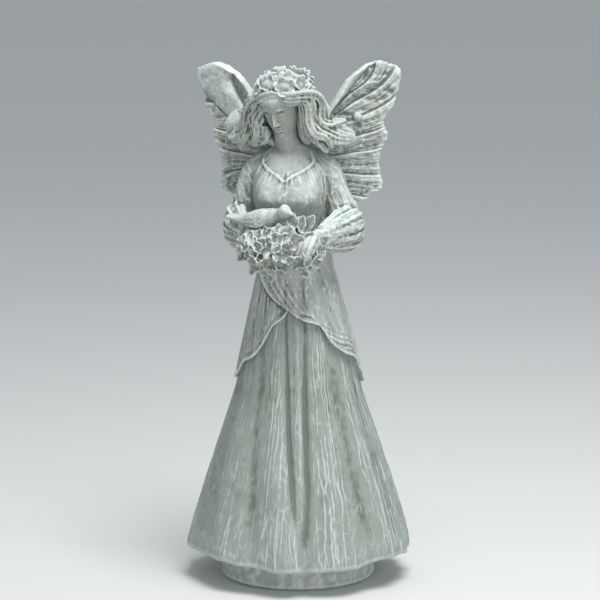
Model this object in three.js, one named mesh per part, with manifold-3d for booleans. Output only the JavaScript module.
// Cast-stone garden statue of a fairy: she looks down at a bird perched on the bouquet she holds.
// Figure, wings, flowers, bird and low plinth are one casting, so the model is one solid.
// Units are millimetres, +Z is up, she faces -Y, and the origin is the middle of the plinth's underside.
import * as THREE from "three";
import { mergeVertices } from "three/addons/utils/BufferGeometryUtils.js";
import Module from "manifold-3d";

const wasm = await Module();
wasm.setup();

// Driving dimensions
const plinthHeight = 38;
const plinthRadius = 108;
const plinthChamfer = 5;
const figureHeight = 692; // underside of the hem to the wing tips

// Everything on the figure keeps its share of her height: the carving below is written
// in millimetres on a figure of this height, standing at z = 0.
const carvedHeight = 692;
const figureScale = figureHeight / carvedHeight;
const fusedDepth = 6; // how far the plinth runs up into the skirt
const smallestEdge = 1.5; // shorter edges are left out of the carving
const mergedWithin = 0.05; // corners closer together than this are one in the finished solid

const degrees = Math.PI / 180;
const fullTurn = 2 * Math.PI;
const { lerp, smoothstep } = THREE.MathUtils;
const point = (x, y, z) => new THREE.Vector3(x, y, z);
const bump = (x, middle, width) => Math.exp(-(((x - middle) / width) ** 2));

// Value at x of a smooth curve through stations [[x, value, ...], ...], read from one column.
function along(stations, x, column = 1) {
  const last = stations.length - 1;
  if (x <= stations[0][0]) return stations[0][column];
  if (x >= stations[last][0]) return stations[last][column];
  const i = stations.findIndex((s) => s[0] > x) - 1;
  const slope = (k) => {
    const a = stations[Math.max(k - 1, 0)];
    const b = stations[Math.min(k + 1, last)];
    return (b[column] - a[column]) / (b[0] - a[0]);
  };
  const [from, to] = [stations[i], stations[i + 1]];
  const span = to[0] - from[0];
  const t = (x - from[0]) / span;
  return (
    from[column] * (1 + 2 * t) * (1 - t) ** 2 +
    slope(i) * span * t * (1 - t) ** 2 +
    to[column] * t * t * (3 - 2 * t) +
    slope(i + 1) * span * t * t * (t - 1)
  );
}

// A closed solid from points and triangles, turned to face outwards.
function solidFrom(points, triangles) {
  const geometry = new THREE.BufferGeometry().setFromPoints(points);
  geometry.setIndex(triangles.flat());
  const merged = mergeVertices(geometry, 1e-4);
  const corner = merged.index.array;
  const at = (k) => point().fromBufferAttribute(merged.attributes.position, corner[k]);
  let volume = 0;
  for (let k = 0; k < corner.length; k += 3) volume += at(k).dot(at(k + 1).cross(at(k + 2)));
  if (volume < 0) corner.reverse();
  return new wasm.Manifold(
    new wasm.Mesh({
      numProp: 3,
      vertProperties: merged.attributes.position.array,
      triVerts: new Uint32Array(corner),
      tolerance: smallestEdge,
    }),
  );
}

// Skin over rings of points, closed by a fan to the middle of each end ring.
function skin(rings) {
  const around = rings[0].length;
  const points = rings.flat();
  const triangles = [];
  for (let i = 0; i + 1 < rings.length; i++) {
    for (let j = 0; j < around; j++) {
      const a = i * around + j;
      const b = i * around + ((j + 1) % around);
      triangles.push([a, b, b + around], [a, b + around, a + around]);
    }
  }
  const lastRing = (rings.length - 1) * around;
  for (const [first, turn] of [[0, -1], [lastRing, 1]]) {
    const middle = point();
    for (let j = 0; j < around; j++) middle.addScaledVector(points[first + j], 1 / around);
    points.push(middle);
    for (let j = 0; j < around; j++) {
      const pair = [first + j, first + ((j + 1) % around)];
      triangles.push([points.length - 1, ...(turn > 0 ? pair : pair.reverse())]);
    }
  }
  return solidFrom(points, triangles);
}

// A closed shape between an outline and two points, one in front of it and one behind.
function lens(outline, front, behind) {
  const points = [...outline, front, behind];
  const around = outline.length;
  const triangles = [];
  for (let j = 0; j < around; j++) {
    const next = (j + 1) % around;
    triangles.push([j, next, around], [next, j, around + 1]);
  }
  return solidFrom(points, triangles);
}

// A panel, wing or sheet of hair: face(u, v, side) gives its front (side 1) and back (side -1).
function slab(face, columns, rows) {
  const points = [];
  const triangles = [];
  for (const side of [1, -1])
    for (let i = 0; i <= rows; i++)
      for (let j = 0; j <= columns; j++) points.push(face(j / columns, i / rows, side));
  const wide = columns + 1;
  const back = wide * (rows + 1);
  const quad = (a, b, c, d) => triangles.push([a, b, c], [a, c, d]);
  for (let i = 0; i < rows; i++) {
    for (let j = 0; j < columns; j++) {
      const a = i * wide + j;
      quad(a, a + 1, a + wide + 1, a + wide);
      quad(back + a, back + a + wide, back + a + wide + 1, back + a + 1);
    }
  }
  const border = [];
  for (let j = 0; j < columns; j++) border.push(j);
  for (let i = 0; i < rows; i++) border.push(i * wide + columns);
  for (let j = columns; j > 0; j--) border.push(rows * wide + j);
  for (let i = rows; i > 0; i--) border.push(i * wide);
  border.forEach((a, k) => {
    const b = border[(k + 1) % border.length];
    quad(b, a, back + a, back + b);
  });
  return solidFrom(points, triangles);
}

// An oval section carried along a smooth path through [x, y, z, radius] waypoints.
// depth is the section's thickness as a share of its radius, measured along facing.
function limb(waypoints, { steps = 8, around = 8, depth = 1, facing = [0, -1, 0] } = {}) {
  const path = new THREE.CatmullRomCurve3(waypoints.map(([x, y, z]) => point(x, y, z)));
  const radii = waypoints.map(([, , , radius], i) => [i / (waypoints.length - 1), radius]);
  const rings = [];
  for (let i = 0; i <= steps; i++) {
    const t = i / steps;
    const middle = path.getPoint(t);
    const tangent = path.getTangent(t);
    const across = tangent.clone().cross(point(...facing)).normalize();
    const through = across.clone().cross(tangent).normalize();
    const radius = along(radii, t);
    const ring = [];
    for (let j = 0; j < around; j++) {
      const turn = (fullTurn * j) / around;
      ring.push(
        middle
          .clone()
          .addScaledVector(across, radius * Math.cos(turn))
          .addScaledVector(through, radius * depth * Math.sin(turn)),
      );
    }
    rings.push(ring);
  }
  return skin(rings);
}

// A lump with a radius function of direction, on a longitude and latitude grid.
function lump(middle, radii, { around = 10, rows = 6, swell = () => 1 } = {}) {
  const rings = [];
  for (let i = 0; i <= rows; i++) {
    const latitude = (-90 + 8 + (164 * i) / rows) * degrees;
    const ring = [];
    for (let j = 0; j < around; j++) {
      const turn = (fullTurn * j) / around;
      const direction = point(
        Math.cos(latitude) * Math.cos(turn),
        Math.cos(latitude) * Math.sin(turn),
        Math.sin(latitude),
      );
      const size = swell(direction);
      ring.push(
        point(
          middle[0] + radii[0] * direction.x * size,
          middle[1] + radii[1] * direction.y * size,
          middle[2] + radii[2] * direction.z * size,
        ),
      );
    }
    rings.push(ring);
  }
  return skin(rings);
}

const joined = (solids) => solids.reduce((whole, next) => whole.add(next));

// Gown: [z, half width, half depth, centre y] from the hem to the shoulders.
const gownStations = [
  [0, 151, 144, 0],
  [22, 149, 142, 0],
  [52, 143.5, 136, 0],
  [96, 130, 122, 0],
  [162, 109, 101, 0],
  [227, 88, 80, 0],
  [265, 79, 71, 0],
  [300, 72.5, 64, 0],
  [335, 65.5, 56, 0],
  [372, 57.5, 48, 1],
  [402, 51, 42, 2],
  [432, 47, 38, 2],
  [460, 49, 39.5, 0],
  [480, 52, 43, -2],
  [500, 55, 45.5, -3],
  [520, 57, 43, -1],
  [535, 58, 38, 1],
  [546, 57, 33, 3],
  [556, 50, 28, 5],
  [564, 40, 23, 6],
  [569, 31, 19, 5],
  [576, 21, 16, 3],
];
// Skirt folds: [azimuth from the front towards +X where the folds start, azimuth at the hem,
// half width in degrees, height, below 0 for a valley]
const foldStart = 300;
const skirtFolds = [
  [-14, 4.5, 8, 6],
  [15, 15.5, 4.5, -6],
  [31, 34, 9, 6.2],
  [49, 54, 6, -4],
  [65, 67, 8, 6],
  [86, 86, 7, 5.5],
  [104, 104, 7, 5.5],
  [124, 124, 8, 6],
  [146, 146, 8, 6],
  [170, 170, 8, 6],
  [-166, -166, 8, 6],
  [-143, -143, 8, 6],
  [-119, -119, 7, 5.5],
  [-98, -96, 7, 5.5],
  [-78, -70, 7, 5],
  [-56, -32, 9, 4.2],
  [-33, -12, 5, -3.2],
];
const shoulderLean = -9; // the upper body sways towards -X

const leanAt = (z) => shoulderLean * smoothstep(z, 290, 550);
const wrapped = (angle) => ((((angle + 180) % 360) + 360) % 360) - 180;

function foldHeight(azimuth, z) {
  const hang = 1 - smoothstep(z, 60, 420);
  const risen = Math.min(z / foldStart, 1.1);
  let height = -1;
  for (const [start, hem, width, ridge] of skirtFolds)
    height += ridge * bump(wrapped(azimuth - lerp(hem, start, risen)), 0, width);
  return height * (0.25 + 0.75 * hang);
}

function bustHeight(azimuth, z) {
  const each = bump(azimuth, 27, 19) + bump(azimuth, -24, 19);
  return 12 * each * bump(z, 506, z > 506 ? 30 : 17);
}

// Point on the gown at an azimuth, a height and a distance outside the plain gown.
function gownPoint(azimuth, z, outside = 0) {
  const swell = outside + (z < 430 ? foldHeight(azimuth, z) : bustHeight(azimuth, z));
  const turn = azimuth * degrees;
  return point(
    leanAt(z) + (along(gownStations, z, 1) + swell) * Math.sin(turn),
    along(gownStations, z, 3) - (along(gownStations, z, 2) + swell) * Math.cos(turn),
    z,
  );
}

const skirtAround = 52;
const bodiceAround = 24;
const frontCrowding = 19; // degrees by which the columns of the skirt crowd to the front
function gownRing(around, outside, heightAt) {
  return Array.from({ length: around }, (_, j) => {
    const even = (360 * j) / around;
    const azimuth = even - frontCrowding * Math.sin(even * degrees);
    return gownPoint(azimuth, heightAt(wrapped(azimuth)), outside);
  });
}

function gown() {
  const skirt = [0, 5, 60, 160, 270, 395];
  const bodice = [380, 432, 465, 483, 500, 518, 537, 553, 566, 575];
  return [
    skin(skirt.map((z) => gownRing(skirtAround, z === 0 ? -3 : 0, () => z))),
    skin(bodice.map((z) => gownRing(bodiceAround, 0, () => z))),
  ];
}

// Overskirt hem: [azimuth, z]. It is open in front, where the two panels cross.
const overskirtHem = [
  [-180, 222],
  [-150, 226],
  [-110, 236],
  [-84, 243],
  [-70, 252],
  [-59, 269],
  [-46, 277],
  [-37, 287],
  [-28, 305],
  [-18, 327],
  [-6, 339],
  [3, 354],
  [19, 339],
  [39, 329],
  [46, 311],
  [60, 294],
  [84, 276],
  [92, 258],
  [110, 238],
  [150, 226],
  [180, 222],
];
const overskirtAround = 42;
const overskirtTop = 438;
const overskirtLift = 6.5; // how far the overskirt's hem stands off the skirt
const panelLift = 4; // and the panel that crosses over the other

const overskirtOutside = (share) => overskirtLift * (1 - 0.75 * share);

function overskirt() {
  const hemAt = (azimuth) => along(overskirtHem, azimuth);
  const outer = [0.06, 0.4, 1].map((share) =>
    gownRing(overskirtAround, overskirtOutside(share), (azimuth) =>
      lerp(hemAt(azimuth), overskirtTop, share),
    ),
  );
  const edge = gownRing(overskirtAround, overskirtLift * 0.7, hemAt);
  const inner = gownRing(overskirtAround, -14, (azimuth) => hemAt(azimuth) + 10);
  return skin([inner, edge, ...outer]);
}

// The panel on her left, which crosses over the other: its free edge climbs from the crossing
// towards her right hip.
function crossedPanel() {
  const [lowEdge, highEdge, farEdge] = [7, -62, 118];
  return slab(
    (u, v, side) => {
      const edge = lerp(lowEdge, highEdge, v ** 0.8);
      const azimuth = lerp(edge, farEdge, u);
      const hem = along(overskirtHem, lerp(lowEdge, farEdge, u)) - 4 * (1 - u);
      const z = lerp(hem, lerp(overskirtTop - 34, overskirtTop, u ** 0.5), v);
      const share = (z - hem) / (overskirtTop - hem);
      const fade = 1 - smoothstep(u, 0.75, 1);
      const lift = side > 0 ? overskirtOutside(share) + panelLift * fade * (1 - 0.4 * v) - 0.2 : -9;
      return gownPoint(azimuth, z, lift);
    },
    10,
    4,
  );
}

// Neckline: a raised edge on the bodice, lowest in the middle of her chest.
const necklineRun = [[-64, 567], [-44, 553], [-27, 543], [-1, 528], [24, 543], [40, 553], [58, 568]];
function neckline() {
  const edge = necklineRun.map(([azimuth, z]) => [...gownPoint(azimuth, z, 0.5).toArray(), 2.2]);
  return limb(edge, { steps: 8, around: 4 });
}

// Arms: sleeves hang from the shoulders and open towards the bouquet. side is -1 at -X.
const elbowsMiddle = -4;
function arm(side) {
  const at = (out, y, z, radius, middle = elbowsMiddle) => [side * out + middle, y, z, radius];
  const upper = limb(
    [
      at(36, 6, 551, 15, shoulderLean),
      at(50, 4, 539, 20, shoulderLean),
      at(58, 3, 515, 21, shoulderLean),
      at(66, 2, 488, 22, -6),
      at(75, 0, 466, 21),
    ],
    { steps: 5, around: 9, depth: 0.95 },
  );
  const sleeve = limb(
    [at(82, 14, 468, 13), at(83, -2, 464, 27), at(77, -26, 461, 30), at(64, -52, 457, 25), at(50, -75, 455, 17)],
    { steps: 6, around: 11, depth: 0.62, facing: [side, -0.6, 0] },
  );
  return [upper, sleeve];
}

// Hand: a palm and the fingers that curl down round the bouquet.
function hand(side, fingers) {
  const at = (x, y, z, radius) => [side * x - 2, y, z, radius];
  const palm = [at(56, -68, 458, 9), at(48, -84, 458, 11), at(42, -97, 456, 9)];
  const parts = [limb(palm, { steps: 3, around: 6, depth: 0.65 })];
  for (let finger = 0; finger < fingers; finger++) {
    const out = 50 - finger * 6;
    const lift = finger * 2;
    parts.push(
      limb(
        [
          at(out - 4, -93, 461 + lift, 4.2),
          at(out - 7, -106, 452 + lift, 4.2),
          at(out - 11, -110, 440 + lift, 3.8),
          at(out - 16, -108, 428 + lift, 2.6),
        ],
        { steps: 3, around: 5 },
      ),
    );
  }
  return parts;
}

// Head: in its own frame the face looks along -Y; headTurn bows it and turns it to the bird.
const headMiddle = point(-19.5, -17, 633);
const headTurn = new THREE.Euler(28 * degrees, -5 * degrees, -14 * degrees, "ZYX");
const turnedHead = (p) => p.applyEuler(headTurn).add(headMiddle);

// Head: [height, half width, half depth, centre y] from under the chin to the crown
const headStations = [
  [-41, 7, 7, -14],
  [-38, 12, 12, -13],
  [-30, 17.5, 20, -9],
  [-20, 22, 27, -4],
  [-6, 25.5, 31, -1],
  [10, 27, 33, 0],
  [24, 25.5, 31, 1],
  [34, 19, 23, 2],
];

// How far the features stand out on the front of the head, by height and by distance from the
// middle of the face: eyes half way up, the nose's base half way from there to the chin, and the
// lips a third of the way below it.
function featureHeight(x, z) {
  const nose = 8 * bump(x, 0, 3.2 - 0.08 * z) * smoothstep(6 - z, 0, 20) * smoothstep(z, -18, -13);
  const sockets = -4 * (bump(x, 11, 7) + bump(x, -11, 7)) * bump(z, 1, 5);
  const lids = 2 * (bump(x, 11, 4.5) + bump(x, -11, 4.5)) * bump(z, 0, 3);
  const lips = 3 * bump(x, 0, 6) * (bump(z, -20.5, 2) + bump(z, -25, 2.2));
  const chin = 3 * bump(x, 0, 8) * bump(z, -35, 5);
  return nose + sockets + lids + lips + chin;
}

function head() {
  const around = 20;
  const heights = [-41, -37, -30, -25, -20.5, -16, -12, -6, 1, 9, 24];
  const rings = heights.map((z) =>
    Array.from({ length: around }, (_, j) => {
      // points are closer together on the face than behind it
      const even = (fullTurn * j) / around;
      const turn = even - 0.45 * Math.sin(even);
      const x = along(headStations, z, 1) * Math.sin(turn);
      const front = smoothstep(Math.cos(turn), 0.2, 0.7);
      const y = along(headStations, z, 3) - along(headStations, z, 2) * Math.cos(turn);
      return turnedHead(point(x, y - front * featureHeight(x, z), z));
    }),
  );
  const neck = [
    [-11, 6, 556, 25],
    [-13, 3, 568, 19.5],
    [-16, -2, 584, 17.5],
    [-18, -6, 606, 18],
    [-19, -8, 622, 14],
  ];
  return [skin(rings), limb(neck, { steps: 4, around: 9 })];
}

// Locks of hair: they leave the wreath, frame the face in waves and sweep out over the shoulders.
// Each is [x, y, z, radius] from the parting to its tip.
const lockPaths = [
  // her left side, from the front to the back
  [[-15, -50, 646, 4], [-3, -51, 643, 5], [10, -47, 645, 5.5], [22, -38, 646, 6], [32, -27, 643, 6], [37, -20, 633, 6], [35, -18, 620, 6], [39, -17, 609, 6], [49, -14, 605, 5.5], [58, -10, 608, 4.5], [69, -5, 612, 1.4]],
  [[18, -38, 642, 4.5], [26, -31, 635, 5], [27, -28, 621, 5], [30, -27, 609, 5.5], [38, -25, 599, 6], [49, -21, 593, 6], [62, -16, 587, 5.5], [74, -10, 586, 4], [85, -4, 585, 1.4]],
  [[10, -42, 641, 3.5], [14, -38, 631, 4.5], [13, -36, 617, 4.5], [16, -35, 605, 5.5], [23, -34, 595, 6], [33, -31, 590, 6], [45, -27, 588, 5], [54, -22, 573, 1.4]],
  [[22, -8, 640, 8], [32, -4, 622, 9], [36, -2, 604, 9], [50, 3, 594, 8], [68, 6, 590, 6], [80, 8, 587, 1.6]],
  [[16, 8, 640, 9], [30, 12, 616, 10], [36, 14, 592, 9], [48, 14, 576, 7], [58, 14, 564, 2]],
  // her right side
  [[-13, -50, 647, 4], [-24, -50, 647, 5], [-37, -45, 642, 5], [-48, -36, 634, 5.5], [-58, -30, 624, 5.5], [-63, -27, 611, 6], [-66, -25, 598, 5.5], [-73, -22, 586, 4.5], [-83, -18, 577, 1.5]],
  [[-41, -38, 632, 4.5], [-48, -35, 620, 5], [-52, -33, 609, 5.5], [-51, -32, 596, 5.5], [-55, -29, 585, 4.5], [-64, -26, 576, 1.5]],
  [[-52, -12, 640, 8], [-60, -8, 622, 9], [-66, -6, 606, 9], [-76, -2, 592, 8], [-92, 2, 584, 6], [-100, 4, 582, 2]],
  [[-48, 8, 640, 9], [-60, 10, 616, 10], [-66, 12, 592, 9], [-76, 12, 576, 7], [-84, 12, 564, 2]],
];
const lockFullness = 1.22;

function lock(path) {
  return limb(
    path.map(([x, y, z, radius]) => [x, y, z, radius * lockFullness]),
    { steps: Math.max(path.length - 2, 4), around: 5, depth: 0.85 },
  );
}

// Hair behind the locks, and the rounded knobs beside it: [middle, radii]
const hairMasses = [
  [[-19, -42, 650], [13, 9, 8]],
  [[16, -10, 612], [15, 20, 36]],
  [[23, -8, 593.5], [21, 16.5, 14]],
  [[-56, -10, 612], [14, 20, 34]],
  [[-54, -12, 590], [18, 15, 13]],
];
const knobs = [
  [[-96, 24, 604], [12, 13, 13]],
  [[80, 24, 613], [6.5, 8, 6.5]],
];

// Hair down her back: a wavy sheet that ends in rounded locks.
const backLocks = 5;
function backHair() {
  return slab(
    (u, v, face) => {
      const across = 2 * u - 1;
      const wave = Math.cos(fullTurn * backLocks * u);
      const end = 532 + 22 * across * across + 7 * wave;
      const halfWidth = 32 + 18 * Math.sin(Math.min(v, 0.7) * 2.2) - 6 * v * v;
      const round = Math.sqrt(1 - 0.8 * across * across);
      return point(
        lerp(-18, -11, v) + halfWidth * across,
        lerp(2, 14, v) + 29 * round + face * (7 - 3 * v) - (face > 0 ? 3 * wave * v : 0),
        lerp(652, end, v),
      );
    },
    10,
    5,
  );
}

function hair() {
  const parts = [lump([-18, -8, 648], [35, 40, 26], { around: 12, rows: 5 }), backHair()];
  for (const [middle, radii] of hairMasses) parts.push(lump(middle, radii, { around: 7, rows: 3 }));
  for (const path of lockPaths) parts.push(lock(path));
  for (const [middle, radii] of knobs) parts.push(lump(middle, radii, { around: 8, rows: 4 }));
  return parts;
}

// Flower: five petals round a hollow. outward is the way it looks.
const petals = 5;
function flower(middle, outward, radius, roll = 0) {
  const up = outward.clone().normalize();
  const across = point(0.3, 0.2, 1).cross(up).normalize();
  const over = up.clone().cross(across);
  const rim = Array.from({ length: 2 * petals }, (_, j) => {
    const turn = roll + (Math.PI * j) / petals;
    const reach = radius * (j % 2 ? 0.84 : 1);
    return middle
      .clone()
      .addScaledVector(across, reach * Math.cos(turn))
      .addScaledVector(over, reach * Math.sin(turn))
      .addScaledVector(up, radius * (j % 2 ? 0.05 : 0.15));
  });
  return lens(
    rim,
    middle.clone().addScaledVector(up, -0.12 * radius),
    middle.clone().addScaledVector(up, -0.9 * radius),
  );
}

// Leaf: a pointed lens from its stalk to its tip, with the midrib towards the viewer.
function leaf(stalk, tip, outward, halfWidth) {
  const run = tip.clone().sub(stalk);
  const up = outward.clone().normalize();
  const across = run.clone().cross(up).normalize();
  const at = (share, width, height) =>
    stalk
      .clone()
      .addScaledVector(run, share)
      .addScaledVector(across, width * halfWidth)
      .addScaledVector(up, height * halfWidth);
  return lens(
    [at(0, 0, 0), at(0.3, 0.9, 0), at(0.65, 0.8, 0), at(1, 0, -0.2), at(0.65, -0.8, 0), at(0.3, -0.9, 0)],
    at(0.45, 0, 0.45),
    at(0.45, 0, -0.5),
  );
}

// Wreath: a garland of leaves round the crown with open flowers on it, low over her forehead.
const wreath = {
  middle: point(-17, -13, 660),
  radiusX: 33,
  radiusY: 35,
  tilt: new THREE.Euler(20 * degrees, -3 * degrees, 0),
  leaves: 5,
  backFlowers: 4,
  backRadius: 13,
};
// Flowers over her forehead and on the crown: [x, y, z, radius]
const wreathFlowers = [
  [-37, -41, 665, 16],
  [-7, -49, 663, 16],
  [-6, -33, 675, 13],
  [14, -36, 667, 13],
  [-25, -48, 651, 12],
  [-53, -29, 656, 12],
  [22, -32, 656, 10],
  [-31, -12, 675, 14],
  [-4, -10, 675, 14],
];

function wreathParts() {
  const rim = (share, lift = 0) => {
    const turn = fullTurn * share;
    return point(wreath.radiusX * Math.sin(turn), -wreath.radiusY * Math.cos(turn), lift)
      .applyEuler(wreath.tilt)
      .add(wreath.middle);
  };
  const parts = [lump(wreath.middle.toArray(), [37, 39, 18], { around: 12, rows: 4 })];
  for (let i = 0; i < wreath.leaves; i++) {
    const stalk = rim(i / wreath.leaves, -4);
    const outward = stalk.clone().sub(wreath.middle).normalize();
    const tip = rim((i + 1) / wreath.leaves, i % 2 ? -10 : -6).addScaledVector(outward, 5);
    parts.push(leaf(stalk, tip, outward, 9));
  }
  const heart = wreath.middle.clone().add(point(0, 0, -14));
  wreathFlowers.forEach(([x, y, z, radius], i) => {
    const middle = point(x, y, z);
    parts.push(flower(middle, middle.clone().sub(heart), radius, 0.9 * i));
  });
  for (let i = 0; i < wreath.backFlowers; i++) {
    const seat = rim(lerp(0.26, 0.76, i / (wreath.backFlowers - 1)), i % 2 ? 1 : -3);
    const outward = seat.clone().sub(wreath.middle).normalize().add(point(0, 0, 0.35));
    parts.push(flower(seat.addScaledVector(outward, 5), outward, wreath.backRadius, i));
  }
  return parts;
}

// Bouquet: a full bunch of flowers and leaves in front of her waist, with a trailing tip.
// Flowers: [x, y, z, radius]
const bouquetHeart = point(-6, -74, 448);
const bouquetFlowers = [
  [-56, -98, 450, 13],
  [-40, -114, 436, 15],
  [-20, -122, 446, 14],
  [-16, -120, 424, 13],
  [4, -124, 438, 15],
  [22, -118, 456, 13],
  [8, -112, 466, 12],
  [22, -110, 424, 12],
  [10, -100, 408, 12],
  [28, -100, 474, 12],
  [37, -106, 446, 13],
  [-20, -110, 466, 12],
];
// Leaves: [stalk, tip]
const bouquetLeaves = [
  [[-52, -94, 438], [-70, -96, 424]],
  [[-34, -106, 424], [-46, -106, 406]],
  [[-10, -108, 414], [-20, -104, 396]],
  [[34, -98, 470], [44, -98, 496]],
  [[14, -104, 472], [14, -100, 496]],
];

function bouquet() {
  const parts = [
    lump([-8, -88, 445], [58, 31, 32], { around: 12, rows: 5 }),
    lump([12, -82, 420], [23, 21, 25], { around: 8, rows: 3 }),
  ];
  bouquetFlowers.forEach(([x, y, z, radius], i) => {
    const middle = point(x, y, z);
    parts.push(flower(middle, middle.clone().sub(bouquetHeart), radius, i * 0.7));
  });
  for (const [stalk, tip] of bouquetLeaves)
    parts.push(leaf(point(...stalk).lerp(bouquetHeart, 0.25), point(...tip), point(0, -1, 0.25), 9));
  return parts;
}

// Bird: [share of its length, half height, half width] from tail to beak, on a sagging back.
const birdTail = point(-85, -60, 480);
const birdBeak = point(17, -108, 486);
const birdStations = [
  [0, 3, 8],
  [0.16, 6, 8.5],
  [0.3, 11, 11],
  [0.45, 15.5, 14],
  [0.6, 15.5, 14.5],
  [0.73, 12, 12],
  [0.82, 10.5, 10],
  [0.9, 9.5, 8.5],
  [0.95, 5, 4.5],
  [1, 0.8, 0.8],
];
const birdAround = 8;
const birdRise = [[0, 0], [0.3, -4], [0.5, -4], [0.65, -1], [0.8, 6], [0.88, 8], [0.94, 5], [1, 1]];

function bird() {
  const run = birdBeak.clone().sub(birdTail);
  const across = run.clone().cross(point(0, 0, 1)).normalize();
  const up = across.clone().cross(run).normalize();
  const rings = birdStations.map(([share, tall, wide]) => {
    const middle = birdTail.clone().addScaledVector(run, share).addScaledVector(up, along(birdRise, share));
    return Array.from({ length: birdAround }, (_, j) => {
      const turn = (fullTurn * j) / birdAround;
      return middle
        .clone()
        .addScaledVector(across, wide * Math.cos(turn))
        .addScaledVector(up, tall * Math.sin(turn));
    });
  });
  const body = skin(rings);
  const wings = [-1, 1].map((side) =>
    slab(
      (u, v, face) => {
        const share = lerp(0.72, 0.12, v);
        const base = birdTail.clone().addScaledVector(run, share).addScaledVector(up, along(birdRise, share));
        const turn = lerp(65, -25, u) * degrees;
        const swell = 1 + (face > 0 ? 0.16 : -0.3);
        const narrow = 1 - 0.55 * v;
        return base
          .addScaledVector(across, side * along(birdStations, share, 2) * swell * Math.cos(turn * narrow))
          .addScaledVector(up, along(birdStations, share, 1) * swell * Math.sin(turn * narrow));
      },
      2,
      4,
    ),
  );
  return [body, ...wings];
}

// Wings: each is a fan about its root, [angle above the level, reach] round the outline.
const wingRoot = { out: 45, z: 577 };
const wingSweep = { 1: 22, [-1]: 26 }; // degrees back from straight sideways, by side
const wingRoll = { 1: 0, [-1]: -5 }; // and how far the tip leans outwards
const wingPlaneY = 2;
const wingOutline = [
  [-78, 84], [-68, 88], [-61, 96], [-54, 101], [-47, 99], [-41, 104], [-36, 101], [-31, 94],
  [-20, 82], [-8, 80], [0, 86], [6, 90], [14, 88], [20, 90], [25, 100], [28, 112],
  [35, 127], [40, 141], [44.5, 148], [50, 143], [57, 135], [61, 124], [65.5, 108], [70, 92],
];
const leadingAngle = 70;
const trailingAngle = -78;

// The wing's inner edge runs down the spine: [share of the way down, out, z].
const wingSpine = [
  [0, 38, 600],
  [0.35, 12, 572],
  [1, 14, 508],
];

function wing(side) {
  const sweep = wingSweep[side] * degrees;
  const outward = point(side * Math.cos(sweep), Math.sin(sweep), 0);
  const forward = point(side * Math.sin(sweep), -Math.cos(sweep), 0);
  return slab(
    (u, v, face) => {
      const outlineAngle = lerp(leadingAngle, trailingAngle, v);
      const reach = along(wingOutline, outlineAngle);
      const angle = (outlineAngle + wingRoll[side]) * degrees;
      const share = lerp(0.05, 1, u);
      const out = lerp(along(wingSpine, v, 1), wingRoot.out + reach * Math.cos(angle), share);
      const z = lerp(along(wingSpine, v, 2), wingRoot.z + reach * Math.sin(angle), share);
      const edge = bump(v, 0, 0.1) * lerp(9, 5, u);
      const vein = 1.5 * Math.cos(fullTurn * 7 * v) * u;
      const thickness = lerp(8, 4.5, u) + edge + (face > 0 ? vein : 0);
      return point(leanAt(z), wingPlaneY, z)
        .addScaledVector(outward, out)
        .addScaledVector(forward, face * thickness + 6 * u * u);
    },
    3,
    18,
  );
}

// The figure's solid at her own scale, standing on the plinth.
function figure() {
  const parts = [
    ...gown(),
    neckline(),
    overskirt(),
    crossedPanel(),
    ...head(),
    ...hair(),
    ...wreathParts(),
    ...bouquet(),
    ...bird(),
    ...hand(-1, 2),
    ...hand(1, 4),
  ];
  for (const side of [-1, 1]) parts.push(...arm(side), wing(side));
  return joined(parts).scale(figureScale).translate([0, 0, plinthHeight]);
}

// Plinth: a round slab with a small chamfer, run up into the skirt so that the two are one.
function plinth() {
  const top = plinthHeight + fusedDepth;
  const profile = [
    [0, 0],
    [plinthRadius - plinthChamfer, 0],
    [plinthRadius, plinthChamfer],
    [plinthRadius, top],
    [0, top],
  ];
  const turned = new THREE.LatheGeometry(
    profile.map(([x, y]) => new THREE.Vector2(x, y)),
    32,
  ).rotateX(Math.PI / 2);
  turned.deleteAttribute("normal");
  turned.deleteAttribute("uv");
  const merged = mergeVertices(turned, 1e-3);
  const corners = [...merged.index.array];
  const triangles = [];
  for (let k = 0; k < corners.length; k += 3) {
    const [a, b, c] = corners.slice(k, k + 3);
    if (a !== b && b !== c && a !== c) triangles.push([a, b, c]);
  }
  const place = merged.attributes.position;
  const points = Array.from({ length: place.count }, (_, i) => point().fromBufferAttribute(place, i));
  return solidFrom(points, triangles);
}

// The same solid with its close corners merged, which leaves no slivers between the carvings.
function withoutSlivers(solid) {
  const { vertProperties, triVerts } = solid.getMesh();
  const rough = new THREE.BufferGeometry();
  rough.setAttribute("position", new THREE.BufferAttribute(vertProperties, 3));
  rough.setIndex(new THREE.BufferAttribute(triVerts, 1));
  const merged = mergeVertices(rough, mergedWithin);
  const corners = [...merged.index.array];
  const kept = [];
  for (let k = 0; k < corners.length; k += 3) {
    const [a, b, c] = corners.slice(k, k + 3);
    if (a !== b && b !== c && a !== c) kept.push(a, b, c);
  }
  const clean = new wasm.Manifold(
    new wasm.Mesh({
      numProp: 3,
      vertProperties: merged.attributes.position.array,
      triVerts: new Uint32Array(kept),
      tolerance: mergedWithin,
    }),
  );
  return clean.simplify(mergedWithin);
}

// Only the outer shell is kept, so that the pockets between petals and locks are solid stone.
const shells = figure().add(plinth()).decompose();
const outer = shells.reduce((largest, shell) => (shell.volume() > largest.volume() ? shell : largest));
const statue = withoutSlivers(outer);
const { vertProperties, triVerts } = statue.getMesh();
const geometry = new THREE.BufferGeometry();
geometry.setAttribute("position", new THREE.BufferAttribute(vertProperties, 3));
geometry.setIndex(new THREE.BufferAttribute(triVerts, 1));
geometry.computeVertexNormals();

const castStone = new THREE.MeshStandardMaterial({ color: 0x9aa09a, roughness: 0.9, metalness: 0 });
const casting = new THREE.Mesh(geometry, castStone);
casting.name = "fairy_casting";

const garden = new THREE.Group();
garden.add(casting);

export default garden;
